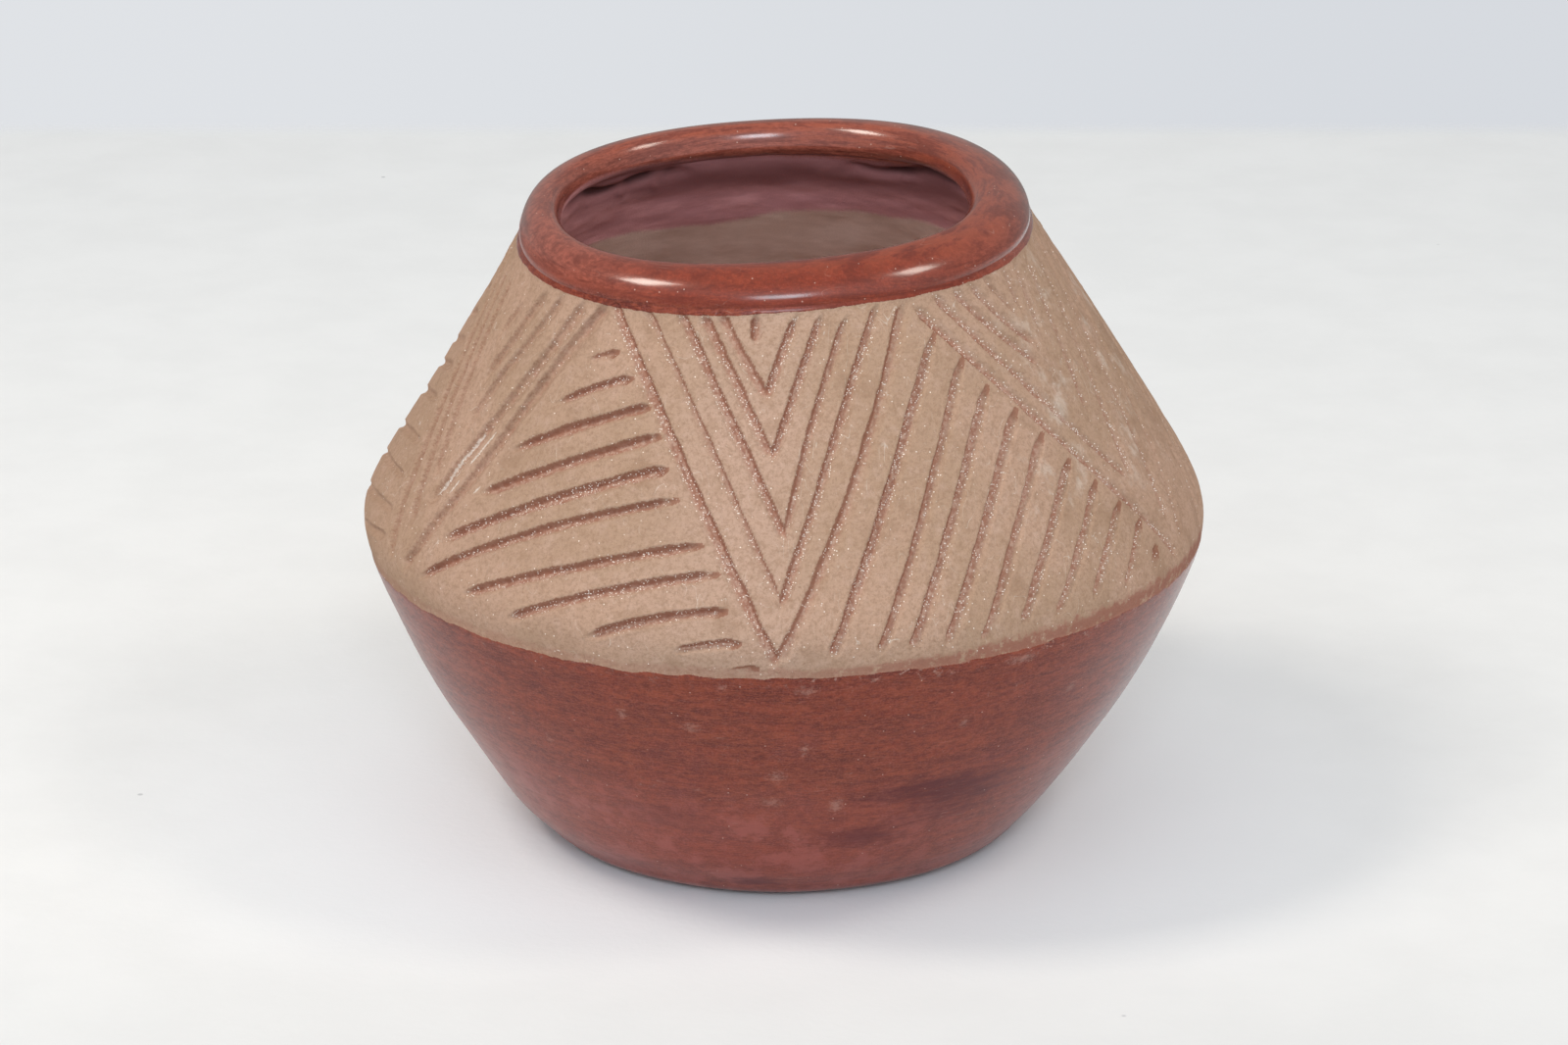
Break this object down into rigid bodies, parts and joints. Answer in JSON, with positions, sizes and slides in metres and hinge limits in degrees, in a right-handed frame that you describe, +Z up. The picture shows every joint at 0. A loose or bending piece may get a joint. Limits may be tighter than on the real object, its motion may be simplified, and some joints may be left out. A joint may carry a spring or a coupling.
{
  "type": "pottery olla",
  "caption": "Small hand-coiled pottery olla: round red-slipped bowl, conical bare clay shoulder with incised grooves, and a rolled red lip round a wide mouth.",
  "frame": {"origin": "under the middle of the widest part, on the surface that the pot stands on; the foot's own middle lies 1 mm to the left", "axes": "+Z up through the mouth, -Y towards the viewer of the picture, +X to its right"},
  "size_m": [0.1096, 0.1096, 0.0872],
  "materials": {
    "red_slip": "iron-red slip, stone-polished to a satin gloss",
    "bare_clay": "unslipped micaceous clay, matte, with incised grooves"
  },
  "bodies": {
    "root": {"base_slab": "red_slip", "bowl_coil_1": "red_slip", "bowl_coil_2": "red_slip", "bowl_coil_3": "red_slip", "shoulder_coil_1": "bare_clay", "shoulder_coil_2": "bare_clay", "shoulder_coil_3": "bare_clay", "shoulder_coil_4": "bare_clay", "lip_coil": "red_slip"}
  },
  "joints": []
}
